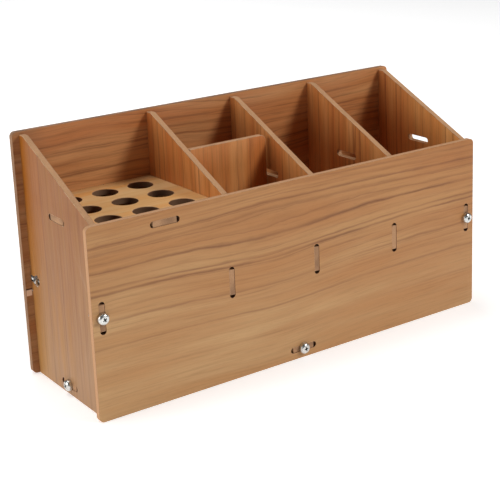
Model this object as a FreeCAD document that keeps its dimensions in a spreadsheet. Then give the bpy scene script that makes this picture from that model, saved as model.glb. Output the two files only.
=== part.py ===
import FreeCAD, Part
import os
import Sketcher

# Bench-top tool caddy: thin wood-faced boards joined by tabs in slots, and clamped
# by machine screws that run into nuts held in T-slots.
# X is the width, Y runs from front to back and Z is up. The origin is the middle
# of the footprint, on the surface that the caddy stands on.

doc = FreeCAD.newDocument("ToolCaddy")
sheet = doc.addObject("Spreadsheet::Sheet", "Sizes")

SIZES = [
    ("board", 3.0, "thickness of every board"),
    ("outer_width", 230.0, "width of the front and back panels"),
    ("inner_depth", 66.0, "clear depth between front and back panel"),
    ("front_height", 92.0, "height of the front panel"),
    ("back_height", 122.0, "height of the back panel"),
    ("panel_corner", 2.4, "corner radius of the front and back panels"),
    ("side_inset", 3.5, "from a panel's end to the side's outer face"),
    ("wall_drop", 1.5, "sides and dividers below the back panel's top"),
    ("wall_flat", 4.0, "level stretch at the back of their top edge"),
    ("bottom_lift", 3.5, "from the ground to the bottom panel"),
    ("shelf_bay", 66.0, "clear width of the bay with the shelf"),
    ("small_bay", 47.25, "clear width of the two middle bays"),
    ("shelf_drop", 4.0, "from the front panel's top to the shelf's top"),
    ("shelf_corner", 3.0, "corner radius of the shelf"),
    ("hole_diameter", 12.6, "tool holes in the shelf"),
    ("hole_pitch", 19.5, "tool hole spacing, both ways"),
    ("cross_drop", 13.7, "cross divider's top below the dividers' highest edge"),
    ("cross_corner", 3.0, "radius of its top right corner"),
    ("cross_gap", 0.4, "gap at the left end of the cross divider"),
    ("cross_gap_right", 2.4, "gap at its right end"),
    ("bottom_joint_shift", -0.5, "bottom panel's front and back tabs, off centre"),
    ("slot_length", 15.5, "slots, end to end"),
    ("slot_clearance", 0.1, "slot width over board thickness"),
    ("tab_recess", 0.15, "tab's end below the outer face"),
    ("screw_diameter", 3.0, "thread's outer diameter"),
    ("screw_length", 10.0, "under the head"),
    ("screw_clearance", 0.2, "hole or channel over the screw or slot"),
    ("head_diameter", 5.6, "pan head"),
    ("head_height", 2.4, "pan head"),
    ("head_round", 1.5, "fillet of the head's top edge"),
    ("recess_length", 3.3, "cross recess, tip to tip"),
    ("recess_width", 0.8, "cross recess, one arm"),
    ("recess_depth", 1.4, "cross recess"),
    ("tip_chamfer", 0.4, "at the screw's tip"),
    ("nut_flats", 5.5, "nut, across its flats"),
    ("nut_height", 2.4, "nut, along the screw"),
    ("nut_clearance", 0.1, "thread bore and T-slot over the nut's parts"),
    ("nut_setback", 4.5, "board's edge to the nut's slot, sides and back"),
    ("channel_depth", 8.5, "board's edge to the channel's end, sides and back"),
    ("front_nut_setback", 2.2, "board's front edge to the nut's slot"),
    ("front_channel_depth", 7.1, "board's front edge to the channel's end"),
    ("slot_overrun", 6.0, "how far a T-slot's cut starts outside the board's edge"),
]

for row, (name, value, note) in enumerate(SIZES, start=1):
    sheet.set(f"A{row}", name)
    sheet.set(f"B{row}", str(value))
    sheet.set(f"C{row}", note)
    sheet.setAlias(f"B{row}", name)
doc.recompute()


def bind(formula):
    """Formula in the sheet's names, with each name pointed at the sheet."""
    names = sorted((name for name, value, note in SIZES), key=len, reverse=True)
    out = formula
    for index, name in enumerate(names):
        out = out.replace(name, f"<{index}>")
    for index, name in enumerate(names):
        out = out.replace(f"<{index}>", f"Sizes.{name}")
    return out


def size(formula):
    """Present value of a formula in the sheet's names."""
    return float(sheet.evalExpression(bind(formula)))


# Places and sizes that several pieces share.
ZERO = "0"
HALF_DEPTH = "inner_depth / 2"
SIDE_MIDDLE = "(outer_width / 2 - side_inset - board / 2)"
SIDE_INNER = "(outer_width / 2 - side_inset - board)"
BOTTOM_MIDDLE = "(bottom_lift + board / 2)"
BOTTOM_TOP = "(bottom_lift + board)"
SHELF_MIDDLE = "(front_height - shelf_drop - board / 2)"
SHELF_X = f"(shelf_bay / 2 - {SIDE_INNER})"
JOINT_HEIGHT = f"(({BOTTOM_TOP} + front_height) / 2)"
DIVIDER_XS = [
    f"(shelf_bay + board / 2 - {SIDE_INNER} + {index} * (small_bay + board))"
    for index in range(3)
]
WALL_TOP = "(back_height - wall_drop)"
CROSS_X = f"(({DIVIDER_XS[0]} + {DIVIDER_XS[1]}) / 2)"
CROSS_HEIGHT = f"({WALL_TOP} - cross_drop - {BOTTOM_TOP})"
SLOT_WIDTH = "(board + slot_clearance)"
TAB_HALF = "((slot_length - board) / 2)"
TAB_REACH = "(board - tab_recess)"
FRONT_T_SLOT = ("front_nut_setback", "front_channel_depth")
SCREW_HOLE = f"(max(screw_diameter; {SLOT_WIDTH}) + screw_clearance)"


# ---- sketch and feature helpers

def newBody(label):
    body = doc.addObject("PartDesign::Body", label)
    body.Label = label
    return body


def newSketch(body, plane, name):
    """Sketch on one of the body's own origin planes."""
    sketch = body.newObject("Sketcher::SketchObject", name)
    origin = [item for item in body.Origin.OriginFeatures if item.Role == plane][0]
    sketch.AttachmentSupport = [(origin, "")]
    sketch.MapMode = "FlatFace"
    return sketch


def pin(sketch, kind, first, firstPoint, second, secondPoint, formula):
    """Signed distance between two sketch points, bound to the sheet."""
    index = sketch.addConstraint(Sketcher.Constraint(
        kind, first, firstPoint, second, secondPoint, size(formula)))
    sketch.setExpression(f"Constraints[{index}]", bind(formula))


def addPolygon(sketch, corners):
    """Closed outline; each corner is a pair of formulas, pinned to the sketch's origin."""
    points = [FreeCAD.Vector(size(x), size(y), 0) for x, y in corners]
    count = len(points)
    lines = [
        sketch.addGeometry(Part.LineSegment(points[i], points[(i + 1) % count]), False)
        for i in range(count)
    ]
    for i in range(count):
        following = lines[(i + 1) % count]
        sketch.addConstraint(Sketcher.Constraint("Coincident", lines[i], 2, following, 1))
    for line, (x, y) in zip(lines, corners):
        pin(sketch, "DistanceX", -1, 1, line, 1, x)
        pin(sketch, "DistanceY", -1, 1, line, 1, y)


def addRectangle(sketch, left, right, low, high):
    addPolygon(sketch, [(left, low), (right, low), (right, high), (left, high)])


def addCircle(sketch, x, y, diameter):
    centre = FreeCAD.Vector(size(x), size(y), 0)
    circle = Part.Circle(centre, FreeCAD.Vector(0, 0, 1), size(diameter) / 2)
    index = sketch.addGeometry(circle, False)
    pin(sketch, "DistanceX", -1, 1, index, 3, x)
    pin(sketch, "DistanceY", -1, 1, index, 3, y)
    rule = sketch.addConstraint(Sketcher.Constraint("Diameter", index, size(diameter)))
    sketch.setExpression(f"Constraints[{rule}]", bind(diameter))


def addSlot(sketch, x, y, upright):
    """Round-ended slot for one tab, centred on x, y."""
    half = "(slot_length / 2 - board / 2 - slot_clearance / 2)"
    radius = size(SLOT_WIDTH) / 2
    up = FreeCAD.Vector(0, 0, 1)
    if upright:
        centres = [(x, f"{y} - {half}"), (x, f"{y} + {half}")]
        turns = [(180, 360), (0, 180)]
    else:
        centres = [(f"{x} - {half}", y), (f"{x} + {half}", y)]
        turns = [(90, 270), (270, 450)]
    arcs = []
    for (cx, cy), (start, end) in zip(centres, turns):
        circle = Part.Circle(FreeCAD.Vector(size(cx), size(cy), 0), up, radius)
        first, last = [FreeCAD.Units.Quantity(f"{turn} deg").getValueAs("rad").Value
                       for turn in (start, end)]
        arcs.append(sketch.addGeometry(Part.ArcOfCircle(circle, first, last), False))
    ends = [(sketch.getPoint(arcs[i], 2), sketch.getPoint(arcs[1 - i], 1)) for i in (0, 1)]
    lines = [sketch.addGeometry(Part.LineSegment(a, b), False) for a, b in ends]
    for i in (0, 1):
        sketch.addConstraint(Sketcher.Constraint("Tangent", arcs[i], 2, lines[i], 1))
        sketch.addConstraint(Sketcher.Constraint("Tangent", lines[i], 2, arcs[1 - i], 1))
    for arc, (cx, cy) in zip(arcs, centres):
        pin(sketch, "DistanceX", -1, 1, arc, 3, cx)
        pin(sketch, "DistanceY", -1, 1, arc, 3, cy)
        rule = sketch.addConstraint(Sketcher.Constraint("Diameter", arc, 2 * radius))
        sketch.setExpression(f"Constraints[{rule}]", bind(SLOT_WIDTH))


def pad(body, sketch, name, length, midplane=False, reverse=False):
    feature = body.newObject("PartDesign::Pad", name)
    feature.Profile = sketch
    feature.setExpression("Length", bind(length))
    feature.Midplane = midplane
    feature.Reversed = reverse
    doc.recompute()
    return feature


def cut(body, sketch, name, depth=None):
    """Pocket down to a depth, or right through a board, both ways from the sketch."""
    before = body.Shape.Volume
    feature = body.newObject("PartDesign::Pocket", name)
    feature.Profile = sketch
    if depth is None:
        feature.Type = "ThroughAll"
        feature.Midplane = True
    else:
        feature.setExpression("Length", bind(depth))
    doc.recompute()
    if not body.Shape.Volume < before:
        raise ValueError(f"{body.Label}: {name} cuts nothing")
    return feature


def dress(body, kind, name, radius, chosen):
    """Fillet or chamfer on the edges of the body's tip that the test picks."""
    tip = body.Tip
    edges = [f"Edge{i}" for i, edge in enumerate(tip.Shape.Edges, start=1) if chosen(edge)]
    feature = body.newObject(f"PartDesign::{kind}", name)
    feature.Base = (tip, edges)
    feature.setExpression("Radius" if kind == "Fillet" else "Size", bind(radius))
    doc.recompute()
    return feature


def place(body, x, y, z, turn=None):
    for axis, formula in zip("xyz", (x, y, z)):
        body.setExpression(f"Placement.Base.{axis}", bind(formula))
    if turn is not None:
        body.Placement.Rotation = turn
    doc.recompute()


# ---- shapes that several boards share

def runsAlong(axis):
    """Test for straight edges along an axis, one board thickness long."""
    def test(edge):
        ends = [vertex.Point for vertex in edge.Vertexes]
        if len(ends) != 2 or abs(edge.Length - size("board")) > 0.001:
            return False
        return abs((ends[1] - ends[0]).normalize().dot(axis)) > 0.999
    return test


def tSlot(edge, outward, middle, setback="nut_setback", depth="channel_depth"):
    """Corners of a T-slot, as (along, across) formulas: a channel for the screw, from
    past the tab's end into the board, crossed by a slot for the nut."""
    channel = "(screw_diameter / 2 + screw_clearance / 2)"
    pocket = "(nut_flats / 2 + nut_clearance / 2)"
    mouth = f"{edge} + {outward} * slot_overrun"
    nutNear = f"{edge} - {outward} * {setback}"
    nutFar = f"{edge} - {outward} * ({setback} + nut_height + nut_clearance)"
    end = f"{edge} - {outward} * {depth}"
    lower = [
        (mouth, channel), (nutNear, channel), (nutNear, pocket),
        (nutFar, pocket), (nutFar, channel), (end, channel),
    ]
    corners = [(along, f"{middle} - {across}") for along, across in lower]
    corners += [(along, f"{middle} + {across}") for along, across in reversed(lower)]
    return corners


def wallOutline(base):
    """Side or divider seen along X: sloped top, one tab at the front and one at the back."""
    tabLow = f"{JOINT_HEIGHT} - {TAB_HALF}"
    tabHigh = f"{JOINT_HEIGHT} + {TAB_HALF}"
    front = f"-{HALF_DEPTH}"
    frontTab = f"-{HALF_DEPTH} - {TAB_REACH}"
    backTab = f"{HALF_DEPTH} + {TAB_REACH}"
    return [
        (front, base), (HALF_DEPTH, base),
        (HALF_DEPTH, tabLow), (backTab, tabLow), (backTab, tabHigh), (HALF_DEPTH, tabHigh),
        (HALF_DEPTH, WALL_TOP), (f"{HALF_DEPTH} - wall_flat", WALL_TOP),
        (front, "front_height"),
        (front, tabHigh), (frontTab, tabHigh), (frontTab, tabLow), (front, tabLow),
    ]


# ---- the boards

def makePanel(label, height, y):
    """Front or back panel, with a slot for each tab that reaches it."""
    body = newBody(label)
    outline = newSketch(body, "XZ_Plane", f"{label}_outline")
    addRectangle(outline, "-outer_width / 2", "outer_width / 2", ZERO, height)
    pad(body, outline, f"{label}_board", "board")
    dress(body, "Fillet", f"{label}_corners", "panel_corner",
          runsAlong(FreeCAD.Vector(0, 1, 0)))

    slots = newSketch(body, "XZ_Plane", f"{label}_slots")
    for x in [f"-{SIDE_MIDDLE}", SIDE_MIDDLE] + DIVIDER_XS:
        addSlot(slots, x, JOINT_HEIGHT, upright=True)
    addSlot(slots, SHELF_X, SHELF_MIDDLE, upright=False)
    addSlot(slots, "bottom_joint_shift", BOTTOM_MIDDLE, upright=False)
    cut(body, slots, f"{label}_slot_cuts")

    holes = newSketch(body, "XZ_Plane", f"{label}_screw_holes")
    addCircle(holes, f"-{SIDE_MIDDLE}", JOINT_HEIGHT, SCREW_HOLE)
    addCircle(holes, SIDE_MIDDLE, JOINT_HEIGHT, SCREW_HOLE)
    addCircle(holes, "bottom_joint_shift", BOTTOM_MIDDLE, SCREW_HOLE)
    cut(body, holes, f"{label}_hole_cuts")
    place(body, ZERO, y, ZERO)


def makeSide(label, x):
    """Outer wall: T-slots at both ends, slots for the shelf's and bottom's tabs."""
    body = newBody(label)
    outline = newSketch(body, "YZ_Plane", f"{label}_outline")
    addPolygon(outline, wallOutline(ZERO))
    pad(body, outline, f"{label}_board", "board", midplane=True)

    slots = newSketch(body, "YZ_Plane", f"{label}_slots")
    addSlot(slots, ZERO, SHELF_MIDDLE, upright=False)
    addSlot(slots, ZERO, BOTTOM_MIDDLE, upright=False)
    cut(body, slots, f"{label}_slot_cuts")

    hole = newSketch(body, "YZ_Plane", f"{label}_screw_hole")
    addCircle(hole, ZERO, BOTTOM_MIDDLE, SCREW_HOLE)
    cut(body, hole, f"{label}_hole_cut")

    channels = newSketch(body, "YZ_Plane", f"{label}_channels")
    addPolygon(channels, tSlot(f"-{HALF_DEPTH}", -1, JOINT_HEIGHT, *FRONT_T_SLOT))
    addPolygon(channels, tSlot(HALF_DEPTH, 1, JOINT_HEIGHT))
    cut(body, channels, f"{label}_channel_cuts")
    place(body, x, ZERO, ZERO)


def makeDivider(label, x):
    """Inner wall, standing on the bottom panel."""
    body = newBody(label)
    outline = newSketch(body, "YZ_Plane", f"{label}_outline")
    addPolygon(outline, wallOutline(BOTTOM_TOP))
    pad(body, outline, f"{label}_board", "board", midplane=True)

    slot = newSketch(body, "YZ_Plane", f"{label}_slot")
    addSlot(slot, ZERO, SHELF_MIDDLE, upright=False)
    cut(body, slot, f"{label}_slot_cut")
    place(body, x, ZERO, ZERO)


def makeBottom():
    """Bottom panel: a tab with a T-slot on each of its four edges."""
    body = newBody("bottom_panel")
    outline = newSketch(body, "XY_Plane", "bottom_outline")
    left, right = f"bottom_joint_shift - {TAB_HALF}", f"bottom_joint_shift + {TAB_HALF}"
    front, back = f"-{HALF_DEPTH}", HALF_DEPTH
    frontTab, backTab = f"-{HALF_DEPTH} - {TAB_REACH}", f"{HALF_DEPTH} + {TAB_REACH}"
    west, east = f"-{SIDE_INNER}", SIDE_INNER
    westTab, eastTab = f"-{SIDE_INNER} - {TAB_REACH}", f"{SIDE_INNER} + {TAB_REACH}"
    low, high = f"-{TAB_HALF}", TAB_HALF
    addPolygon(outline, [
        (west, front), (left, front), (left, frontTab), (right, frontTab), (right, front),
        (east, front), (east, low), (eastTab, low), (eastTab, high), (east, high),
        (east, back), (right, back), (right, backTab), (left, backTab), (left, back),
        (west, back), (west, high), (westTab, high), (westTab, low), (west, low),
    ])
    pad(body, outline, "bottom_board", "board")

    channels = newSketch(body, "XY_Plane", "bottom_channels")
    for edge, outward in ((west, -1), (east, 1)):
        addPolygon(channels, tSlot(edge, outward, ZERO))
    for edge, outward, slotSizes in ((front, -1, FRONT_T_SLOT), (back, 1, ())):
        corners = tSlot(edge, outward, "bottom_joint_shift", *slotSizes)
        addPolygon(channels, [(across, along) for along, across in corners])
    cut(body, channels, "bottom_channel_cuts")

    slot = newSketch(body, "XY_Plane", "bottom_cross_slot")
    addSlot(slot, CROSS_X, ZERO, upright=False)
    cut(body, slot, "bottom_cross_slot_cut")
    place(body, ZERO, ZERO, "bottom_lift")


def makeShelf():
    """Tool shelf: nine round holes, and a tab on each edge."""
    body = newBody("tool_shelf")
    outline = newSketch(body, "XY_Plane", "shelf_outline")
    edgeX, edgeY = "shelf_bay / 2", HALF_DEPTH
    tabX, tabY = f"shelf_bay / 2 + {TAB_REACH}", f"{HALF_DEPTH} + {TAB_REACH}"
    half = TAB_HALF
    addPolygon(outline, [
        (f"-({edgeX})", f"-({edgeY})"),
        (f"-{half}", f"-({edgeY})"), (f"-{half}", f"-({tabY})"),
        (half, f"-({tabY})"), (half, f"-({edgeY})"),
        (edgeX, f"-({edgeY})"),
        (edgeX, f"-{half}"), (tabX, f"-{half}"), (tabX, half), (edgeX, half),
        (edgeX, edgeY),
        (half, edgeY), (half, tabY), (f"-{half}", tabY), (f"-{half}", edgeY),
        (f"-({edgeX})", edgeY),
        (f"-({edgeX})", half), (f"-({tabX})", half),
        (f"-({tabX})", f"-{half}"), (f"-({edgeX})", f"-{half}"),
    ])
    pad(body, outline, "shelf_board", "board")
    cornerX, cornerY = size(edgeX), size(edgeY)

    def isCorner(edge):
        at = edge.CenterOfMass
        upright = runsAlong(FreeCAD.Vector(0, 0, 1))(edge)
        return upright and abs(abs(at.x) - cornerX) < 0.01 and abs(abs(at.y) - cornerY) < 0.01
    dress(body, "Fillet", "shelf_corners", "shelf_corner", isCorner)

    holes = newSketch(body, "XY_Plane", "shelf_holes")
    for column in (-1, 0, 1):
        for line in (-1, 0, 1):
            addCircle(holes, f"{column} * hole_pitch", f"{line} * hole_pitch", "hole_diameter")
    cut(body, holes, "shelf_hole_cuts")
    place(body, SHELF_X, ZERO, "front_height - shelf_drop - board")


def makeCrossDivider():
    """Cross divider: halves the second bay, with one tab in the bottom panel."""
    body = newBody("cross_divider")
    outline = newSketch(body, "XZ_Plane", "cross_outline")
    left, right = "(small_bay / 2 - cross_gap)", "(small_bay / 2 - cross_gap_right)"
    addPolygon(outline, [
        (f"-{left}", ZERO), (f"-{TAB_HALF}", ZERO),
        (f"-{TAB_HALF}", f"-{TAB_REACH}"), (TAB_HALF, f"-{TAB_REACH}"),
        (TAB_HALF, ZERO), (right, ZERO),
        (right, CROSS_HEIGHT), (f"-{left}", CROSS_HEIGHT),
    ])
    pad(body, outline, "cross_board", "board", midplane=True)
    top = size(CROSS_HEIGHT)

    def isRightTopCorner(edge):
        middle = edge.CenterOfMass
        return runsAlong(FreeCAD.Vector(0, 1, 0))(edge) and abs(middle.z - top) < 0.01 and middle.x > 0
    dress(body, "Fillet", "cross_corner_round", "cross_corner", isRightTopCorner)
    place(body, CROSS_X, ZERO, BOTTOM_TOP)


# ---- the fasteners

def circleAt(height, diameter):
    """Test for a full circle at a height."""
    def test(edge):
        curve = edge.Curve
        if not isinstance(curve, Part.Circle) or len(edge.Vertexes) != 1:
            return False
        sameHeight = abs(curve.Center.z - height) < 0.001
        return sameHeight and abs(2 * curve.Radius - diameter) < 0.001
    return test


def makeScrew(label, position, turn):
    """Pan-head machine screw; its head's underside is at its own origin, head up."""
    body = newBody(label)
    headSketch = newSketch(body, "XY_Plane", f"{label}_head_outline")
    addCircle(headSketch, ZERO, ZERO, "head_diameter")
    pad(body, headSketch, f"{label}_head", "head_height")
    dress(body, "Fillet", f"{label}_head_round", "head_round",
          circleAt(size("head_height"), size("head_diameter")))
    shankSketch = newSketch(body, "XY_Plane", f"{label}_shank_outline")
    addCircle(shankSketch, ZERO, ZERO, "screw_diameter")
    pad(body, shankSketch, f"{label}_shank", "screw_length", reverse=True)
    dress(body, "Chamfer", f"{label}_tip", "tip_chamfer",
          circleAt(-size("screw_length"), size("screw_diameter")))

    recess = newSketch(body, "XY_Plane", f"{label}_recess_outline")
    recess.setExpression("AttachmentOffset.Base.z", bind("head_height"))
    arm, half = "recess_length / 2", "recess_width / 2"
    addPolygon(recess, [
        (arm, f"-{half}"), (arm, half), (half, half), (half, arm),
        (f"-{half}", arm), (f"-{half}", half), (f"-{arm}", half), (f"-{arm}", f"-{half}"),
        (f"-{half}", f"-{half}"), (f"-{half}", f"-{arm}"),
        (half, f"-{arm}"), (half, f"-{half}"),
    ])
    cut(body, recess, f"{label}_recess", "recess_depth")
    place(body, *position, turn)


def makeNut(label, position, turn):
    """Hexagon nut, centred on its own origin, with two flats facing up and down Y."""
    body = newBody(label)
    outline = newSketch(body, "XY_Plane", f"{label}_outline")
    corner, flat = "nut_flats / sqrt(3)", "nut_flats / 2"
    addPolygon(outline, [
        (corner, ZERO), (f"{corner} / 2", flat), (f"-{corner} / 2", flat),
        (f"-{corner}", ZERO), (f"-{corner} / 2", f"-{flat}"), (f"{corner} / 2", f"-{flat}"),
    ])
    pad(body, outline, f"{label}_block", "nut_height", midplane=True)
    bore = newSketch(body, "XY_Plane", f"{label}_bore_outline")
    addCircle(bore, ZERO, ZERO, "screw_diameter + nut_clearance")
    cut(body, bore, f"{label}_bore")
    place(body, *position, turn)


def makeFasteners():
    """A screw through each panel or side, and the nut it runs into."""
    along = FreeCAD.Vector(1, 0, 0)
    across = FreeCAD.Vector(0, 1, 0)
    quarter = FreeCAD.Rotation(FreeCAD.Vector(0, 0, 1), 90)
    panelFace = f"({HALF_DEPTH} + board)"
    sideFace = "(outer_width / 2 - side_inset)"
    halfNut = "(nut_clearance / 2 + nut_height / 2)"
    for end, outward, tilt, setback in (
            ("front", -1, 90, "front_nut_setback"), ("back", 1, -90, "nut_setback")):
        turn = FreeCAD.Rotation(along, tilt)
        faceY = f"{outward} * {panelFace}"
        nutY = f"{outward} * ({HALF_DEPTH} - {setback} - {halfNut})"
        for hand, x in (("left", f"-{SIDE_MIDDLE}"), ("right", SIDE_MIDDLE)):
            makeScrew(f"screw_{end}_{hand}", (x, faceY, JOINT_HEIGHT), turn)
            makeNut(f"nut_{end}_{hand}", (x, nutY, JOINT_HEIGHT), turn)
        x = "bottom_joint_shift"
        makeScrew(f"screw_{end}_bottom", (x, faceY, BOTTOM_MIDDLE), turn)
        makeNut(f"nut_{end}_bottom", (x, nutY, BOTTOM_MIDDLE), turn.multiply(quarter))
    for hand, outward in (("left", -1), ("right", 1)):
        turn = FreeCAD.Rotation(across, 90 * outward)
        faceX = f"{outward} * {sideFace}"
        nutX = f"{outward} * ({SIDE_INNER} - nut_setback - {halfNut})"
        makeScrew(f"screw_side_{hand}", (faceX, ZERO, BOTTOM_MIDDLE), turn)
        makeNut(f"nut_side_{hand}", (nutX, ZERO, BOTTOM_MIDDLE), turn)


makePanel("front_panel", "front_height", f"-{HALF_DEPTH}")
makePanel("back_panel", "back_height", f"{HALF_DEPTH} + board")
makeSide("side_left", f"-{SIDE_MIDDLE}")
makeSide("side_right", SIDE_MIDDLE)
for label, x in zip(("divider_left", "divider_middle", "divider_right"), DIVIDER_XS):
    makeDivider(label, x)
makeBottom()
makeShelf()
makeCrossDivider()
makeFasteners()
doc.recompute()

# ---- checks and export

failed = [item.Name for item in doc.Objects if {"Invalid", "Error"} & set(item.State)]
if failed:
    raise RuntimeError(f"failed objects: {failed}")
bodies = [item for item in doc.Objects if item.TypeId == "PartDesign::Body"]
for body in bodies:
    if body.Shape.isNull() or not body.Shape.isValid() or len(body.Shape.Solids) != 1:
        raise RuntimeError(f"bad shape: {body.Label}")

os.makedirs("parts", exist_ok=True)
for body in bodies:
    body.Shape.exportStep(os.path.join("parts", f"{body.Label}.step"))
    box = body.Shape.BoundBox
    print(f"{body.Label}: {box.XLength:.2f} x {box.YLength:.2f} x {box.ZLength:.2f} mm, "
          f"{body.Shape.Volume:.0f} mm3")
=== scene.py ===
import math

import bmesh
import bpy
from mathutils import Matrix, Vector
from mathutils.bvhtree import BVHTree


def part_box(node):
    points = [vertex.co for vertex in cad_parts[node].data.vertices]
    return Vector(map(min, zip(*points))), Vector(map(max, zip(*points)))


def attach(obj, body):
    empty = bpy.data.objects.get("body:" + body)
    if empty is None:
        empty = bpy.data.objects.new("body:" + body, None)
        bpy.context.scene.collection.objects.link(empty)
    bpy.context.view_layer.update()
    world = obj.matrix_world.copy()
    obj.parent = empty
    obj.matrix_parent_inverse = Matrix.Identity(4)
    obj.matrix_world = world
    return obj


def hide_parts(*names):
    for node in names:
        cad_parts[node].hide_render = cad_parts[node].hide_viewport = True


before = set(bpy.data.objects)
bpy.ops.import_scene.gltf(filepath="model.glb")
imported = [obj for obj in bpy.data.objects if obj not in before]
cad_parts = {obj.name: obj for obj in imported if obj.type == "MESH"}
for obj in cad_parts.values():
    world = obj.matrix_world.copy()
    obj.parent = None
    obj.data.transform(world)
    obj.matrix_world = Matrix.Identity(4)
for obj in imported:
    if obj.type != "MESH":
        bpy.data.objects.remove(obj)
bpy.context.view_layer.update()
print("caddy frame loaded,", len(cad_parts), "nodes")


# where the viewer stands, in metres and degrees
shot = {
    "stand": (-0.3449, -0.5007, 0.2554),
    "turn": 34.26,
    "tilt": 15.29,
    "lean": 2.32,
    "lens": 90.4,
    "sensor": 36,
    "drop": -0.16,
}


def standCamera(shot):
    lens = bpy.data.cameras.new("shotCamera")
    lens.lens = shot["lens"]
    lens.sensor_width = shot["sensor"]
    lens.shift_y = shot["drop"]
    camera = bpy.data.objects.new("shotCamera", lens)
    bpy.context.scene.collection.objects.link(camera)
    camera.matrix_world = (
        Matrix.Translation(shot["stand"])
        @ Matrix.Rotation(math.radians(-shot["turn"]), 4, "Z")
        @ Matrix.Rotation(math.radians(90 - shot["tilt"]), 4, "X")
        @ Matrix.Rotation(math.radians(-shot["lean"]), 4, "Z")
    )
    bpy.context.scene.camera = camera


standCamera(shot)
print("camera placed")


# soft lamps: place and aim in metres, side of the square in metres
lamps = {
    "keyLamp": {"place": (0.9, -1.2, 1.0), "aim": (0, 0, 0.06), "side": 0.5, "watts": 15},
    "leftLamp": {"place": (-1.28, 0.25, 0.5), "aim": (-0.05, 0, 0.06), "side": 0.8, "watts": 8},
    "topLamp": {"place": (-0.2, 0.3, 1.6), "aim": (0, 0, 0.06), "side": 0.6, "watts": 8},
    "backLamp": {"place": (0.2, 1.3, 0.8), "aim": (0, 0, 0.05), "side": 0.9, "watts": 5},
}
room = {
    "sky": 0.06,
    "floorSpan": 8,
    "floorWhite": 0.9,
    "floorGlow": 0.5,
    "floorRoughness": 0.9,
    "floorShine": 0.1,
}


def hangLamp(name, lamp):
    light = bpy.data.lights.new(name, "AREA")
    light.shape = "SQUARE"
    light.size = lamp["side"]
    light.energy = lamp["watts"]
    holder = bpy.data.objects.new(name, light)
    bpy.context.scene.collection.objects.link(holder)
    holder.location = lamp["place"]
    towards = Vector(lamp["aim"]) - Vector(lamp["place"])
    holder.rotation_euler = towards.to_track_quat("-Z", "Y").to_euler()


for name, lamp in lamps.items():
    hangLamp(name, lamp)

sky = bpy.data.worlds.new("whiteRoom")
sky.use_nodes = True
sky.node_tree.nodes["Background"].inputs["Color"].default_value = (1, 1, 1, 1)
sky.node_tree.nodes["Background"].inputs["Strength"].default_value = room["sky"]
bpy.context.scene.world = sky
bpy.context.scene.view_settings.view_transform = "Standard"
print("lamps and room set")


# small helpers for the finishes


def tone(red, green, blue):
    # a paint-chart colour, 0 to 255, as linear light
    def straighten(part):
        part /= 255
        return part / 12.92 if part <= 0.04045 else ((part + 0.055) / 1.055) ** 2.4

    return (straighten(red), straighten(green), straighten(blue), 1)


def addNode(tree, kind, inputs=None, **settings):
    node = tree.nodes.new(kind)
    for key, value in settings.items():
        setattr(node, key, value)
    for socket, value in (inputs or {}).items():
        if isinstance(value, bpy.types.NodeSocket):
            tree.links.new(value, node.inputs[socket])
        else:
            node.inputs[socket].default_value = value
    return node


def reckon(tree, operation, *values, clamp=False):
    inputs = dict(enumerate(values))
    node = addNode(tree, "ShaderNodeMath", inputs, operation=operation, use_clamp=clamp)
    return node.outputs[0]


def point(tree, x, y, z):
    return addNode(tree, "ShaderNodeCombineXYZ", {0: x, 1: y, 2: z}).outputs[0]


def cloud(tree, place, detail, roughness, scale=1.0):
    inputs = {"Vector": place, "Scale": scale, "Detail": detail, "Roughness": roughness}
    return addNode(tree, "ShaderNodeTexNoise", inputs).outputs["Fac"]


def grade(tree, value, low, high, start=0.0, end=1.0):
    inputs = {"Value": value, "From Min": low, "From Max": high, "To Min": start, "To Max": end}
    return addNode(tree, "ShaderNodeMapRange", inputs, interpolation_type="SMOOTHSTEP").outputs[0]


def steps(tree, value, stops):
    # a ramp through the stops, each a position with a colour or a grey
    ramp = addNode(tree, "ShaderNodeValToRGB", {"Fac": value})
    elements = ramp.color_ramp.elements
    elements[0].position, elements[-1].position = stops[0][0], stops[-1][0]
    for position, colour in stops[1:-1]:
        elements.new(position)
    for element, (position, colour) in zip(elements, stops):
        element.color = colour if isinstance(colour, tuple) else (colour, colour, colour, 1)
    return ramp.outputs["Color"]


def blend(tree, share, first, second, mode="MIX"):
    inputs = {0: share, 6: first, 7: second}
    return addNode(tree, "ShaderNodeMix", inputs, data_type="RGBA", blend_type=mode).outputs[2]


def newFinish(name, roughness, specular, metallic=0.0):
    finish = bpy.data.materials.new(name)
    finish.use_nodes = True
    shader = finish.node_tree.nodes["Principled BSDF"]
    shader.inputs["Roughness"].default_value = roughness
    shader.inputs["Specular IOR Level"].default_value = specular
    shader.inputs["Metallic"].default_value = metallic
    return finish, finish.node_tree, shader


def addBump(tree, shader, height, depth, strength):
    inputs = {"Height": height, "Distance": depth, "Strength": strength}
    bump = addNode(tree, "ShaderNodeBump", inputs)
    tree.links.new(bump.outputs["Normal"], shader.inputs["Normal"])


def millimetres(tree):
    # the piece's own place, split in x, y and z, in millimetres
    place = addNode(tree, "ShaderNodeTexCoord").outputs["Object"]
    split = addNode(tree, "ShaderNodeSeparateXYZ", {0: place})
    return [reckon(tree, "MULTIPLY", split.outputs[axis], 1000) for axis in range(3)]


# printed wood skin of the boards; patch and fibre say at which noise each shade stands, gloss
# goes from two noises to two roughnesses, and bump is depth in metres and strength
woodSkin = {
    "pale": tone(191, 144, 97),
    "plain": tone(183, 132, 85),
    "warm": tone(181, 126, 77),
    "dark": tone(122, 74, 43),
    "patch": (0.34, 0.5, 0.66),
    "fibre": [(0.3, 0.82), (0.5, 1.0), (0.7, 1.06)],
    "poreShare": 0.16,
    "shine": 0.4,
    "roughness": 0.46,
    "gloss": (0.3, 0.7, 0.52, 0.4),
    "bump": (0.00004, 0.5),
}

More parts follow.
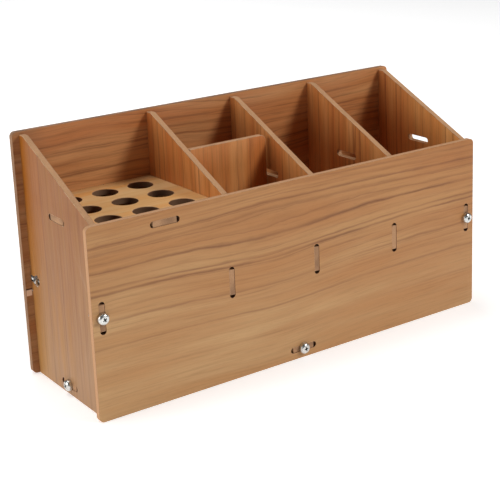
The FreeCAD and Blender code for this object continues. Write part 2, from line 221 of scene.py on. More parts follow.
# the noises that draw the grain: size in millimetres along and across it
grain = {
    "drift": {"along": 85, "across": 50, "detail": 1.5},
    "shake": {"along": 14, "across": 2.5, "detail": 3.0, "depth": 1.6},
    "figure": {"along": 120, "across": 20, "detail": 1.0},
    "strength": {"along": 60, "across": 7, "detail": 2.0, "range": (0.38, 0.62, 0.12, 1.0)},
    "fade": {"along": 55, "across": 12, "detail": 2.0, "range": (0.3, 0.6, 0.4, 1.0)},
    "patch": {"along": 110, "across": 10, "detail": 3.0, "roughness": 0.55},
    "fibre": {"along": 24, "across": 1 / 1.2, "detail": 5.0, "roughness": 0.62},
    "pores": {"along": 4.5, "across": 1 / 2.6, "detail": 2.0, "range": (0.6, 0.74)},
    "ring": [(0.0, 1.0), (0.06, 0.5), (0.2, 0.16), (0.5, 0.0), (0.93, 0.06), (1.0, 1.0)],
    "quietShare": 0.25,  # what is left of the year lines in a quiet part
    "streakBelow": 0.35,  # share of a streak's spread that lies below its dark line
    "streaksPerRamp": 9,  # a ramp holds at most 32 stops
    "faceShift": 1.7,  # so that the two faces of a board differ
}


def stretched(tree, look, u, height, side):
    # noise drawn out along the grain
    place = point(
        tree,
        reckon(tree, "DIVIDE", u, look["along"]),
        reckon(tree, "DIVIDE", height, look["across"]),
        side,
    )
    return cloud(tree, place, look["detail"], look.get("roughness", 0.5))


def bendLines(tree, board, u, v, side):
    # the lines sag in one place, drift a little everywhere and shake in fine waves
    place, span, depth = board["sag"]
    if board.get("sagTurn"):
        depth = grade(tree, v, *board["sagTurn"])
    reach = reckon(tree, "DIVIDE", reckon(tree, "SUBTRACT", u, place), span)
    hollow = reckon(tree, "DIVIDE", depth, reckon(tree, "MULTIPLY_ADD", reach, reach, 1.0))
    drift = stretched(tree, grain["drift"], u, v, side)
    bent = reckon(tree, "MULTIPLY_ADD", drift, board["drift"], reckon(tree, "ADD", v, hollow))
    bent = reckon(tree, "SUBTRACT", bent, board["drift"] / 2)
    shake = stretched(tree, grain["shake"], u, bent, side)
    return bent, reckon(tree, "MULTIPLY_ADD", shake, grain["shake"]["depth"], bent)


def yearLines(tree, board, u, v, bent, shaken, side):
    # strong in some places and nearly gone in others
    figure = stretched(tree, grain["figure"], u, bent, side)
    rings = reckon(tree, "DIVIDE", shaken, board["spacing"])
    rings = reckon(tree, "MULTIPLY_ADD", figure, board["figure"], rings)
    line = steps(tree, reckon(tree, "FRACT", rings), grain["ring"])
    strength = stretched(tree, grain["strength"], u, bent, side)
    line = reckon(tree, "MULTIPLY", line, grade(tree, strength, *grain["strength"]["range"]))
    lines = board["lines"]
    if board.get("quiet"):
        lines = grade(tree, v, *board["quiet"], lines * grain["quietShare"], lines)
    return reckon(tree, "MULTIPLY", line, lines, clamp=True)


def streakStops(streaks, low, high):
    # each streak has a place, a depth and a spread, and is sharp below and soft above
    stops = [(0.0, 0.0)]
    below = grain["streakBelow"]
    for place, depth, spread in streaks:
        middle, reach = (place - low) / (high - low), spread / (high - low)
        stops += [(middle - reach * below, 0.0), (middle, depth)]
        stops += [(middle + reach * (1 - below), 0.0)]
    return stops + [(1.0, 0.0)]


def ownStreaks(tree, streaks, u, bent, shaken, side, under, over):
    # the few long streaks that each board has of its own
    height = reckon(tree, "DIVIDE", reckon(tree, "SUBTRACT", shaken, under), over - under)
    long, share = 0.0, grain["streaksPerRamp"]
    for first in range(0, len(streaks), share):
        some = steps(tree, height, streakStops(streaks[first : first + share], under, over))
        long = reckon(tree, "MAXIMUM", long, some)
    fade = stretched(tree, grain["fade"], u, bent, side)
    return reckon(tree, "MULTIPLY", long, grade(tree, fade, *grain["fade"]["range"]))


def washOver(tree, wash, colour, u, v):
    # the colour is multiplied by a tint that runs from the start to the end; on the back panel,
    # the right wall and the dividers this tint is painted light and shade
    (startU, startV), (endU, endV) = wash["start"], wash["end"]
    spanU, spanV = endU - startU, endV - startV
    length = spanU * spanU + spanV * spanV
    walk = reckon(tree, "MULTIPLY_ADD", reckon(tree, "SUBTRACT", u, startU), spanU / length, 0.0)
    walk = reckon(tree, "MULTIPLY_ADD", reckon(tree, "SUBTRACT", v, startV), spanV / length, walk)
    tint = blend(tree, walk, (*wash["deep"], 1), (*wash["endTint"], 1))
    return blend(tree, 1.0, colour, tint, "MULTIPLY")


def chipOff(tree, chip, colour, u, v, fibre, front):
    # skin chipped off in one place of the front face, with a dark line of painted shade over it
    placeU, placeV = chip["place"]
    wide, tall = chip["half"]
    softU, softV = chip["soft"]
    rimLow, rimHigh = chip["rimReach"]
    jag = reckon(tree, "MULTIPLY_ADD", fibre, chip["jag"], -chip["jag"] / 2)
    offU = reckon(tree, "ABSOLUTE", reckon(tree, "SUBTRACT", reckon(tree, "ADD", u, jag), placeU))
    offV = reckon(tree, "ABSOLUTE", reckon(tree, "SUBTRACT", reckon(tree, "ADD", v, jag), placeV))
    bareU, bareV = grade(tree, offU, wide, wide - softU), grade(tree, offV, tall, tall - softV)
    rimU = grade(tree, offU, wide + softU, wide)
    rimV = grade(tree, offV, tall + rimHigh, tall + rimLow)
    rim = reckon(tree, "MULTIPLY", rimU, rimV)
    rim = reckon(tree, "MULTIPLY", rim, grade(tree, v, placeV, placeV + 1))
    bare = reckon(tree, "MULTIPLY", bareU, bareV)
    colour = blend(tree, reckon(tree, "MULTIPLY", rim, front), colour, chip["shadeLineTone"])
    return blend(tree, reckon(tree, "MULTIPLY", bare, front), colour, chip["bareTone"])


def printWood(name, board, low, high):
    finish, tree, shader = newFinish(name, woodSkin["roughness"], woodSkin["shine"])
    tones = {**woodSkin, **board.get("tones", {})}
    across, thin = board["across"], board["thin"]
    axes = millimetres(tree)
    u, v = axes[board["along"]], axes[across]
    side = reckon(tree, "MULTIPLY_ADD", axes[thin], grain["faceShift"], board["seed"])

    bent, shaken = bendLines(tree, board, u, v, side)
    line = yearLines(tree, board, u, v, bent, shaken, side)
    if board.get("streaks"):
        under, over = low[across] * 1000, high[across] * 1000
        long = ownStreaks(tree, board["streaks"], u, bent, shaken, side, under, over)
        line = reckon(tree, "MAXIMUM", line, long)
    patch = stretched(tree, grain["patch"], u, bent, side)
    fibre = stretched(tree, grain["fibre"], u, bent, side)
    pores = stretched(tree, grain["pores"], u, bent, side)
    pores = grade(tree, pores, *grain["pores"]["range"])

    patchTones = (tones["warm"], tones["plain"], tones["pale"])
    colour = steps(tree, patch, list(zip(woodSkin["patch"], patchTones)))
    if board.get("warmEdge"):
        colour = blend(tree, grade(tree, shaken, *board["warmEdge"]), colour, tones["warm"])
    colour = blend(tree, line, colour, tones["dark"])
    colour = blend(tree, board["fibre"], colour, steps(tree, fibre, woodSkin["fibre"]), "MULTIPLY")
    poreShade = reckon(tree, "MULTIPLY", pores, woodSkin["poreShare"])
    colour = blend(tree, poreShade, colour, tones["dark"])
    if board.get("wash"):
        colour = washOver(tree, board["wash"], colour, u, v)
    if board.get("chip"):
        chipFrom, chipTo = board["chip"]["depth"]
        face = low[thin] * 1000
        front = grade(tree, axes[thin], face + chipFrom, face + chipTo)
        colour = chipOff(tree, board["chip"], colour, u, v, fibre, front)
    tree.links.new(colour, shader.inputs["Base Color"])
    tree.links.new(grade(tree, fibre, *woodSkin["gloss"]), shader.inputs["Roughness"])
    addBump(tree, shader, reckon(tree, "SUBTRACT", fibre, pores), *woodSkin["bump"])
    return finish


# pressed core that shows where a board is cut; each noise is detail, roughness and scale
cutCore = {
    "pale": tone(204, 158, 117),
    "plain": tone(192, 144, 103),
    "scorched": tone(88, 62, 46),
    "skin": tone(140, 92, 58),
    "skinDepth": 0.22,
    "skinSoft": (0.06, 0.04),
    "skinShare": 0.8,
    "speck": (4.0, 0.65, 1.6),
    "speckRange": (0.35, 0.62),
    "smoke": (2.0, 0.5, 0.07),
    "smokeRange": (0.4, 0.7),
    "burnt": 0.15,
    "shine": 0.25,
    "roughness": 0.7,
    "gloss": (0.3, 0.7, 0.62, 0.8),
    "bump": (0.00006, 0.6),
}


def pressedCore(name, thin, low, high, seed, burnt):
    # burnt is the darkest share of scorch; above a half, no place is left clean
    finish, tree, shader = newFinish(name, cutCore["roughness"], cutCore["shine"])
    axes = millimetres(tree)
    middle = (low[thin] + high[thin]) / 2 * 1000
    half = (high[thin] - low[thin]) / 2 * 1000
    depth = reckon(tree, "ABSOLUTE", reckon(tree, "SUBTRACT", axes[thin], middle))
    place = point(tree, axes[0], axes[1], reckon(tree, "ADD", axes[2], seed))
    speck = cloud(tree, place, *cutCore["speck"])
    smoke = cloud(tree, place, *cutCore["smoke"])
    speckTones = (cutCore["plain"], cutCore["pale"])
    colour = steps(tree, speck, list(zip(cutCore["speckRange"], speckTones)))
    scorch = grade(tree, smoke, *cutCore["smokeRange"], max(0.0, 2 * burnt - 1), burnt)
    colour = blend(tree, scorch, colour, cutCore["scorched"])
    skinFrom, (inner, outer) = half - cutCore["skinDepth"], cutCore["skinSoft"]
    skin = grade(tree, depth, skinFrom - inner, skinFrom + outer, 0.0, cutCore["skinShare"])
    colour = blend(tree, skin, colour, cutCore["skin"])
    tree.links.new(colour, shader.inputs["Base Color"])
    tree.links.new(grade(tree, speck, *cutCore["gloss"]), shader.inputs["Roughness"])
    addBump(tree, shader, speck, *cutCore["bump"])
    return finish


# the fine rounded corner of each board, rubbed through to the core in places
arris = {
    "tones": (tone(168, 122, 84), tone(206, 166, 130)),  # where skin holds, where it is through
    "wear": (4.0, 0.6, 0.22),
    "wearRange": (0.38, 0.62),
    "shine": 0.3,
    "roughness": 0.6,
    "gloss": (0, 1, 0.5, 0.72),
    "bump": (0.00003, 0.5),
}


def rubbedArris(name, seed, tones):
    finish, tree, shader = newFinish(name, arris["roughness"], arris["shine"])
    axes = millimetres(tree)
    place = point(tree, axes[0], axes[1], reckon(tree, "ADD", axes[2], seed))
    worn = grade(tree, cloud(tree, place, *arris["wear"]), *arris["wearRange"])
    tree.links.new(blend(tree, worn, *tones), shader.inputs["Base Color"])
    tree.links.new(grade(tree, worn, *arris["gloss"]), shader.inputs["Roughness"])
    addBump(tree, shader, worn, *arris["bump"])
    return finish


def finishPiece(work, name, finishes, node, smoothAngle):
    mesh = bpy.data.meshes.new(name)
    work.to_mesh(mesh)
    work.free()
    for finish in finishes:
        mesh.materials.append(finish)
    mesh.shade_smooth()
    mesh.set_sharp_from_angle(angle=math.radians(smoothAngle))
    piece = bpy.data.objects.new(name, mesh)
    bpy.context.scene.collection.objects.link(piece)
    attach(piece, "root")
    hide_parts(node)


# how every board is made, in metres and degrees
boardCut = {
    "merge": 0.000002,
    "flat": 0.3,  # faces that meet at less become one
    "corner": 35,  # edges that turn more are eased
    "ease": 0.00018,
    "easeSteps": 2,
    "smooth": 18,
    "along": 0.9,  # least part of a normal that counts as along an axis
    "endReach": 0.0002,  # how near a tab's end lies to the board's box
    "wallStart": 0.00005,  # how far off a face the look for a facing wall begins
    "wallGap": 0.0165,  # the walls of a hole or slot stand no further apart
    "tabBurnt": 0.62,
    # how dark the painted shade on the walls of holes and slots is, where a board gives no smoke
    # of its own
    "wallShade": 1.0,
    "tabSeed": 9,
    "wallSeed": 5,
}


def pointsAlong(face, axis):
    return abs(face.normal[axis]) > boardCut["along"]


def isTabEnd(face, axes, low, high):
    middle = face.calc_center_median()
    for axis in axes:
        nearest = min(middle[axis] - low[axis], high[axis] - middle[axis])
        if pointsAlong(face, axis) and nearest < boardCut["endReach"]:
            return True
    return False


def facesWall(face, shell):
    start = face.calc_center_median() + face.normal * boardCut["wallStart"]
    return bool(shell.ray_cast(start, face.normal, boardCut["wallGap"])[0])


def easedBoard(mesh, thin, skin, core, corner):
    # a merged copy of the cut board with its corners eased; its faces are sorted by finish
    work = bmesh.new()
    work.from_mesh(mesh)
    bmesh.ops.remove_doubles(work, verts=work.verts, dist=boardCut["merge"])
    flat = math.radians(boardCut["flat"])
    bmesh.ops.dissolve_limit(work, angle_limit=flat, verts=work.verts, edges=work.edges)
    for face in work.faces:
        face.material_index = skin if pointsAlong(face, thin) else core
    sharp = math.radians(boardCut["corner"])
    eased = bmesh.ops.bevel(
        work,
        geom=[edge for edge in work.edges if edge.calc_face_angle(0) > sharp],
        offset=boardCut["ease"],
        offset_type="OFFSET",
        segments=boardCut["easeSteps"],
        profile=0.5,
        affect="EDGES",
        clamp_overlap=True,
        material=-1,
    )
    for face in eased["faces"]:
        face.material_index = corner
    return work


def makeBoard(name, board):
    node, thin, seed = board["node"], board["thin"], board["seed"]
    low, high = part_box(node)
    skin, core, corner = range(3)
    work = easedBoard(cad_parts[node].data, thin, skin, core, corner)
    finishes = [
        printWood(name + "Skin", board, low, high),
        pressedCore(name + "Core", thin, low, high, seed, board.get("burnt", cutCore["burnt"])),
        rubbedArris(name + "Arris", seed, board.get("arris", arris["tones"])),
    ]
    if board.get("tabs"):
        # the ends of the tabs show in the slots of the next board, and are smoked by the cut
        for face in work.faces:
            if face.material_index == core and isTabEnd(face, board["tabs"], low, high):
                face.material_index = len(finishes)
        tabSeed = seed + boardCut["tabSeed"]
        tabBurnt = boardCut["tabBurnt"]
        finishes.append(pressedCore(name + "TabEnd", thin, low, high, tabSeed, tabBurnt))
    # the walls of holes and slots get painted shade: a darker core finish, as dark as the board's
    # smoke asks
    shell = BVHTree.FromBMesh(work)
    for face in work.faces:
        if face.material_index == core and facesWall(face, shell):
            face.material_index = len(finishes)
    wallSeed = seed + boardCut["wallSeed"]
    smoke = board.get("smoke", boardCut["wallShade"])
    finishes.append(pressedCore(name + "BoreShade", thin, low, high, wallSeed, smoke))
    finishPiece(work, name, finishes, node, boardCut["smooth"])


# Of a board's axes, thin goes through it, along is the grain's and across is the third. Places
# are in millimetres: sag has its place, span and depth, sagTurn the two heights between which
# that depth changes and the depth at each, a streak its place, depth and spread. quiet and
# warmEdge say where each starts and where it is full. tabs are the axes that the tabs point along.
# smoke is how dark the painted shade on the walls of a board's holes and slots is.

# long panels, grain along the caddy
longPanel = {"slot": "panel_board", "thin": 1, "along": 0, "across": 2}
frontPanel = {
    **longPanel,
    "node": "front_panel",
    "seed": 3.0,
    "sag": (-15, 48, 4.5),
    "sagTurn": (62, 84, 4.5, -3),
    "drift": 3.5,
    "figure": 2.2,
    "spacing": 3.4,
    "lines": 0.5,
    "quiet": (28, 58),
    "burnt": 0.0,
    "arris": (tone(188, 140, 96), tone(212, 170, 130)),
    "streaks": [
        (22, 0.25, 1.8),
        (36, 0.5, 1.6),
        (42, 0.2, 1.6),
        (48.3, 0.6, 1.8),
        (54, 0.25, 1.4),
        (61.6, 0.95, 1.7),
        (64, 0.75, 1.5),
        (67.5, 0.35, 1.3),
        (71.8, 0.9, 1.7),
        (75, 0.3, 1.4),
        (79, 0.45, 1.6),
        (82.2, 0.75, 1.6),
        (86, 0.35, 1.5),
        (89, 0.45, 1.5),
    ],
    "wash": {
        "start": (110, 95),
        "end": (82, -34.5),
        "deep": (0.87, 0.69, 0.43),
        "endTint": (1.08, 1.24, 1.3),
    },
    "fibre": 0.7,
}
backPanel = {
    **longPanel,
    "node": "back_panel",
    "seed": 21.0,
    "sag": (20, 60, 4),
    "drift": 8,
    "figure": 4.0,
    "spacing": 5,
    "lines": 0.6,
    "streaks": [
        (90, 0.35, 2),
        (94.5, 0.5, 1.6),
        (98.5, 0.75, 1.8),
        (104, 0.4, 2),
        (108.5, 0.75, 1.8),
        (113, 0.5, 1.6),
        (117.5, 0.6, 1.6),
    ],
    # painted shade: darker towards the left end, on the strip beside the left wall
    "wash": {
        "start": (-118, 0),
        "end": (-97, 0),
        "deep": (0.55, 0.6, 0.7),
        "endTint": (1, 1, 1),
    },
    "chip": {
        "place": (-113.4, 42.1),
        "half": (1.6, 1.7),  # half its width and height
        "soft": (0.3, 0.4),  # blur of its edges
        "rimReach": (0.2, 0.7),  # the dark line's blur, outward from the chip's top
        "depth": (0.5, 0.4),  # from the front face: where the chip starts, where it is full
        "jag": 0.8,
        "bareTone": tone(236, 200, 170),
        # painted shade: the dark line over the chip
        "shadeLineTone": tone(70, 38, 22),
    },
    "burnt": 0.75,
    "arris": (tone(128, 84, 56), tone(164, 124, 94)),
    "fibre": 1.0,
    "tones": {
        "pale": tone(213, 152, 96),
        "plain": tone(202, 136, 81),
        "warm": tone(199, 126, 69),
        "dark": tone(125, 69, 40),
    },
}
makeBoard("frontPanel", frontPanel)
makeBoard("backPanel", backPanel)
print("long panels made")

# end walls, grain upright, warmer towards the back
uprightBoard = {
    "slot": "wall_board",
    "thin": 0,
    "along": 2,
    "across": 1,
    "drift": 3,
    "tabs": (1,),
}
endWall = {
    **uprightBoard,
    "sag": (60, 60, 1.0),
    "figure": 1.0,
    "spacing": 6,
    "lines": 0.35,
    "streaks": [
        (-20, 0.35, 2),
        (-12, 0.45, 1.6),
        (-5.5, 0.4, 1.6),
        (0.5, 0.65, 1.3),
        (2.6, 0.5, 1.2),
        (9, 0.25, 2),
        (16, 0.6, 1.5),
        (24, 0.3, 2.5),
    ],
    "warmEdge": (16, 26),
    "fibre": 0.6,
}
leftWall = {
    **endWall,
    "node": "side_left",
    "seed": 34.0,
    "wash": {
        "start": (92, 0),
        "end": (10, 0),
        "deep": (0.69, 0.46, 0.11),
        "endTint": (0.9, 0.95, 1.03),
    },
    "tones": {
        "pale": tone(186, 141, 96),
        "plain": tone(178, 129, 84),
        "warm": tone(186, 131, 70),
        "dark": tone(137, 88, 53),
    },
}
rightWall = {
    **endWall,
    "node": "side_right",
    "seed": 47.0,
    "lines": 0.8,
    "streaks": [
        (-18, 0.3, 2),
        (-9, 0.4, 2),
        (-3, 0.3, 1.6),
        (3, 0.35, 2),
        (9.5, 0.45, 2),
        (15.5, 0.85, 2.4),
        (19, 0.75, 2.2),
    ],
    "warmEdge": None,
    # painted light: the inner face is paler and greyer towards the open front, where more light
    # falls, and darker towards the back
    "wash": {
        "start": (0, 33),
        "end": (0, -33),
        "deep": (0.92, 0.92, 1.0),
        "endTint": (1.55, 1.9, 2.05),
    },
    "smoke": 0.2,
    "fibre": 0.9,
    "tones": {
        "pale": tone(215, 149, 88),
        "plain": tone(203, 131, 69),
        "warm": tone(199, 119, 59),
        "dark": tone(126, 63, 33),
    },
}
makeBoard("leftWall", leftWall)
makeBoard("rightWall", rightWall)
print("end walls made")

# dividers between the bays, grain upright
divider = {
    **uprightBoard,
    "sag": (60, 50, 1.0),
    "figure": 1.6,
    "spacing": 7,
    "lines": 0.6,
    # painted light and shade: paler towards the open front, darker towards the back of the bays
    "wash": {
        "start": (0, 33),
        "end": (0, -33),
        "deep": (0.97, 0.97, 1.0),
        "endTint": (1.08, 1.12, 1.15),
    },
    "smoke": 0.1,
    "fibre": 1.0,
    "tones": {
        "pale": tone(221, 153, 91),
        "plain": tone(208, 135, 71),
        "warm": tone(204, 122, 61),
        "dark": tone(129, 65, 34),
    },
}
dividerStreaks = {
    "left": [
        (-20, 0.3, 2),
        (-12.5, 0.6, 2),
        (-9, 0.5, 1.6),
        (2, 0.35, 2),
        (19, 0.5, 2),
        (24, 0.6, 2.2),
        (29, 0.7, 2.6),
    ],
    "middle": [
        (-16, 0.45, 2),
        (-4, 0.45, 2),
        (4, 0.3, 2),
        (11, 0.6, 2.2),
        (22, 0.5, 2.4),
    ],
    "right": [
        (-18, 0.4, 2),
        (-9.5, 0.8, 1.8),
        (-4.5, 0.8, 2.2),
        (-1, 0.65, 1.8),
        (7, 0.4, 2),
        (12, 0.45, 2.6),
    ],
}
dividerSeeds = {"left": 60.0, "middle": 73.0, "right": 86.0}
for place, streaks in dividerStreaks.items():
    own = {"node": "divider_" + place, "seed": dividerSeeds[place], "streaks": streaks}
    makeBoard(place + "Divider", {**divider, **own})
print("dividers made")

# short wall across the second bay
crossDivider = {
    **divider,
    "node": "cross_divider",
    "thin": 1,
    "across": 0,
    "seed": 101.0,
    "spacing": 6,
    "wash": None,
    "tabs": (),
    "tones": {
        "pale": tone(226, 153, 87),
        "plain": tone(214, 134, 69),
        "warm": tone(208, 123, 58),
        "dark": tone(132, 65, 33),
    },
}
makeBoard("crossDivider", crossDivider)
print("cross divider made")

# floor board, mostly hidden
levelBoard = {"thin": 2, "along": 0, "across": 1, "drift": 6, "tabs": (0, 1)}
bottomPanel = {
    **levelBoard,
    "node": "bottom_panel",
    "slot": "floor_board",
    "seed": 120.0,
    "sag": (0, 60, 3),
    "figure": 2.0,
    "spacing": 8,
    "lines": 0.6,
    "fibre": 0.7,
}
makeBoard("bottomPanel", bottomPanel)
print("floor board made")

# raised shelf with the nine tool holes
toolShelf = {
    **levelBoard,
    "node": "tool_shelf",
    "slot": "shelf_board",
    "seed": 140.0,
    "sag": (-75, 40, 2),
    "figure": 1.2,
    "spacing": 12,
    "lines": 0.2,
    "fibre": 0.4,
    "smoke": 0.85,
    # these tones carry painted light from above as well as the wood's colour
    "tones": {
        "pale": tone(233, 191, 134),
        "plain": tone(227, 179, 119),
        "warm": tone(229, 167, 95),
        "dark": tone(180, 129, 79),
    },
}
makeBoard("toolShelf", toolShelf)
print("tool shelf made")

# pan-head screws and their nuts, in metres and degrees
panScrew = {
    "headRadius": 0.0028,
    "headHeight": 0.0024,
    "headRound": 0.0015,
    "headRoundSteps": 7,
    "headSides": 48,
    "headEdge": 0.00015,
    "coreRadius": 0.00128,
    "coreSides": 24,
    "coreIntoHead": 0.0002,
    "tipChamfer": 0.0004,
    "threadRadius": 0.0015,
    "threadSink": 0.0001,  # how far the thread's foot lies inside the core
    "threadFromTip": 0.0006,
    "threadUnderHead": 0.0003,
    "stepsPerTurn": 18,
    "length": 0.01,
    "pitch": 0.0005,
    "crossLength": 0.0033,
    "crossWidth": 0.0008,
    "crossDepth": 0.0013,
    "crossTaper": (0.3, 0.55, 1),  # what is left of its length and width at the bottom
    "crossRim": 0.00008,
    "underside": 0.0001,
    "smooth": 30,
}
hexNut = {
    "flats": 0.0055,
    "height": 0.0024,
    "chamfer": 0.0004,
    "roundSides": 48,
    "roundSpare": 0.00001,
    "bore": 0.00145,
    "boreSides": 28,
    "smooth": 25,
}

# each screw's node, which way its head faces and how far its cross is turned, in degrees
screwPlaces = {
    "frontLeft": ("screw_front_left", (0, -1, 0), 28),
    "frontRight": ("screw_front_right", (0, -1, 0), 61),
    "frontBottom": ("screw_front_bottom", (0, -1, 0), 12),
    "leftBottom": ("screw_side_left", (-1, 0, 0), 40),
    "rightBottom": ("screw_side_right", (1, 0, 0), 75),
    "backLeft": ("screw_back_left", (0, 1, 0), 5),
    "backRight": ("screw_back_right", (0, 1, 0), 50),
    "backBottom": ("screw_back_bottom", (0, 1, 0), 33),
}

# plating of screws and nuts; cloudy and scuffs are each detail, roughness and scale of a noise
zincLook = {
    "shine": 0.5,
    "cloudy": (3.0, 0.6, 0.9),
    "cloudyRange": (0.35, 0.65),
    "scuffs": (5.0, 0.7, 4.0),
    "scuffRange": (0.3, 0.7),
    "scuffGloss": (-0.08, 0.14),
    "bump": (0.00002, 0.4),
}


def zinc(name, bright, dull, roughness):
    # a faint brushed cloud in the colour and small scuffs in the gloss
    finish, tree, shader = newFinish(name, roughness, zincLook["shine"], metallic=1.0)
    place = point(tree, *millimetres(tree))
    cloudy = cloud(tree, place, *zincLook["cloudy"])
    scuffs = cloud(tree, place, *zincLook["scuffs"])
    colour = blend(tree, grade(tree, cloudy, *zincLook["cloudyRange"]), bright, dull)
    tree.links.new(colour, shader.inputs["Base Color"])
    smoothest, roughest = (roughness + change for change in zincLook["scuffGloss"])
    rough = grade(tree, scuffs, *zincLook["scuffRange"], smoothest, roughest)
    tree.links.new(rough, shader.inputs["Roughness"])
    addBump(tree, shader, scuffs, *zincLook["bump"])
    return finish


brightZinc = zinc("brightZinc", tone(226, 226, 222), tone(200, 202, 200), 0.26)
# painted shade down in the cross of each head: a darker zinc where little light reaches
paintedShadeZinc = zinc("paintedShadeZinc", tone(96, 100, 98), tone(70, 76, 76), 0.45)


def carve(work, cutter, operation):
    # cuts one closed shape with another and gives back what is left
    shapes = []
    for name, shape in (("carved", work), ("cutter", cutter)):
        mesh = bpy.data.meshes.new(name)
        shape.to_mesh(mesh)
        shape.free()
        shapes.append(bpy.data.objects.new(name, mesh))
        bpy.context.scene.collection.objects.link(shapes[-1])
    carved, tool = shapes
    cut = carved.modifiers.new("cut", "BOOLEAN")
    cut.operation, cut.solver, cut.object = operation, "EXACT", tool
    bpy.context.view_layer.update()
    evaluated = carved.evaluated_get(bpy.context.evaluated_depsgraph_get())
    result = bpy.data.meshes.new_from_object(evaluated)
    left = bmesh.new()
    left.from_mesh(result)
    for shape in shapes:
        bpy.data.meshes.remove(shape.data)
    bpy.data.meshes.remove(result)
    return left


def turnedBar(radius, bottom, top, sides):
    bar = bmesh.new()
    bmesh.ops.create_cone(
        bar,
        cap_ends=True,
        segments=sides,
        radius1=radius,
        radius2=radius,
        depth=top - bottom,
        matrix=Matrix.Translation((0, 0, (bottom + top) / 2)),
    )
    return bar


def easeRims(work, height, width, segments):
    # rounds the rim edges that lie flat at one height
    levelWithin = 1e-7

    def isRim(edge):
        return all(abs(vert.co.z - height) < levelWithin for vert in edge.verts)

    bmesh.ops.bevel(
        work,
        geom=[edge for edge in work.edges if isRim(edge)],
        offset=width,
        offset_type="OFFSET",
        segments=segments,
        profile=0.5,
        affect="EDGES",
        material=-1,
    )


def turnRoundZ(work, degrees):
    turn = Matrix.Rotation(math.radians(degrees), 3, "Z")
    bmesh.ops.rotate(work, cent=(0, 0, 0), matrix=turn, verts=work.verts)


def headShape(screw):
    # stands on the plane that it bears on, with its cross cut in from the top
    height, length, depth = screw["headHeight"], screw["crossLength"], screw["crossDepth"]
    head = turnedBar(screw["headRadius"], 0, height, screw["headSides"])
    easeRims(head, height, screw["headRound"], screw["headRoundSteps"])
    easeRims(head, 0, screw["headEdge"], 1)
    for quarter in (0, 90):
        blade = bmesh.new()
        bmesh.ops.create_cube(blade, size=1)
        arm = (length, screw["crossWidth"], 2 * depth)
        bmesh.ops.scale(blade, vec=arm, verts=blade.verts)
        deep = [vert for vert in blade.verts if vert.co.z < 0]
        bmesh.ops.scale(blade, vec=screw["crossTaper"], verts=deep)
        turnRoundZ(blade, quarter)
        bmesh.ops.translate(blade, vec=(0, 0, height), verts=blade.verts)
        head = carve(head, blade, "DIFFERENCE")
    for face in head.faces:
        middle = face.calc_center_median()
        inCross = math.hypot(middle.x, middle.y) < length / 2
        # faces down in the cross get the second finish, painted shade; the flat underside is also
        # near the middle, and stays bright
        if inCross and screw["underside"] < middle.z < height - screw["crossRim"]:
            face.material_index = 1
    return head


def shankShape(screw):
    # core with a thread wound round it, below the head's plane
    length, pitch = screw["length"], screw["pitch"]
    core = screw["coreRadius"]
    shank = turnedBar(core, -length, screw["coreIntoHead"], screw["coreSides"])
    easeRims(shank, -length, screw["tipChamfer"], 1)
    first = -length + screw["threadFromTip"]
    turns = (length - screw["threadFromTip"] - screw["threadUnderHead"]) / pitch
    root, crest = core - screw["threadSink"], screw["threadRadius"]
    profile = ((root, 0, first), (crest, 0, first + pitch / 2), (root, 0, first + pitch))
    ridge = [shank.verts.new(place) for place in profile]
    edges = [shank.edges.new(pair) for pair in (ridge[:2], ridge[1:])]
    stepCount = round(turns * screw["stepsPerTurn"])
    bmesh.ops.spin(
        shank,
        geom=ridge + edges,
        cent=(0, 0, 0),
        axis=(0, 0, 1),
        dvec=(0, 0, pitch * turns / stepCount),
        angle=math.tau * turns,
        steps=stepCount,
        use_merge=False,
    )
    return shank


def screwShape(screw):
    head, shank = headShape(screw), shankShape(screw)
    mesh = bpy.data.meshes.new("shank")
    shank.to_mesh(mesh)
    shank.free()
    head.from_mesh(mesh)
    bpy.data.meshes.remove(mesh)
    return head


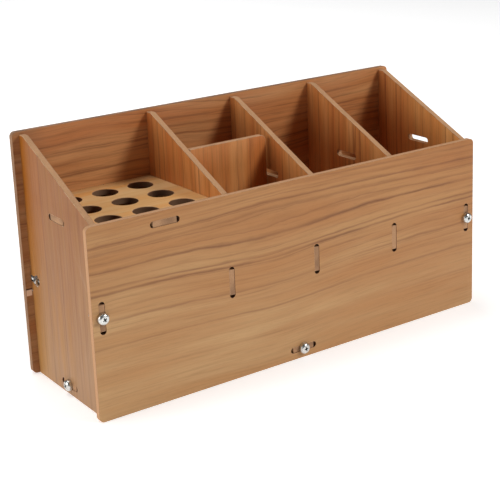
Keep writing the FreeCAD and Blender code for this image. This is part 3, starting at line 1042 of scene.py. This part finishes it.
def nutShape(nut):
    corner, half = nut["flats"] / 2 / math.cos(math.radians(30)), nut["height"] / 2
    hexagon = turnedBar(corner, -half, half, 6)
    barrel = turnedBar(corner + nut["roundSpare"], -half, half, nut["roundSides"])
    for rim in (-half, half):
        easeRims(barrel, rim, nut["chamfer"], 1)
    hexagon = carve(hexagon, barrel, "INTERSECT")
    bore = turnedBar(nut["bore"], -nut["height"], nut["height"], nut["boreSides"])
    return carve(hexagon, bore, "DIFFERENCE")


def stand(work, across, outward, place):
    # turns a shape made round z so that z points outward and y across, and moves it into place
    z, y = Vector(outward), Vector(across)
    turned = Matrix((y.cross(z), y, z)).transposed().to_4x4()
    bmesh.ops.transform(work, matrix=Matrix.Translation(place) @ turned, verts=work.verts)


def placeScrew(name, node, outward, turn):
    low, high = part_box(node)
    out = Vector(outward)
    span = (high - low).dot(Vector(map(abs, out)))
    seat = (low + high) / 2 + out * (span / 2 - panScrew["headHeight"])
    work = screwShape(panScrew)
    turnRoundZ(work, turn)
    stand(work, (0, 0, 1), outward, seat)
    finishPiece(work, name, [brightZinc, paintedShadeZinc], node, panScrew["smooth"])


def placeNut(name, node, outward):
    # the nut's longest side is across its corners
    low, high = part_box(node)
    spans = high - low
    longest = max(range(3), key=lambda axis: spans[axis])
    across = Vector([float(axis == longest) for axis in range(3)])
    work = nutShape(hexNut)
    stand(work, across, outward, (low + high) / 2)
    finishPiece(work, name, [brightZinc], node, hexNut["smooth"])


for name, (node, outward, turn) in screwPlaces.items():
    placeScrew(name + "Screw", node, outward, turn)
    placeNut(name + "Nut", node.replace("screw", "nut"), outward)
print("screws and nuts made")


def layFloor(room):
    sheet = bmesh.new()
    bmesh.ops.create_grid(sheet, x_segments=1, y_segments=1, size=room["floorSpan"] / 2)
    mesh = bpy.data.meshes.new("studioFloor")
    sheet.to_mesh(mesh)
    sheet.free()
    finish, tree, shader = newFinish("whiteFloor", room["floorRoughness"], room["floorShine"])
    white = room["floorWhite"]
    shader.inputs["Base Color"].default_value = (white, white, white, 1)
    shader.inputs["Emission Color"].default_value = (1, 1, 1, 1)
    shader.inputs["Emission Strength"].default_value = room["floorGlow"]
    mesh.materials.append(finish)
    floor = bpy.data.objects.new("studioFloor", mesh)
    bpy.context.scene.collection.objects.link(floor)


layFloor(room)
print("floor laid")
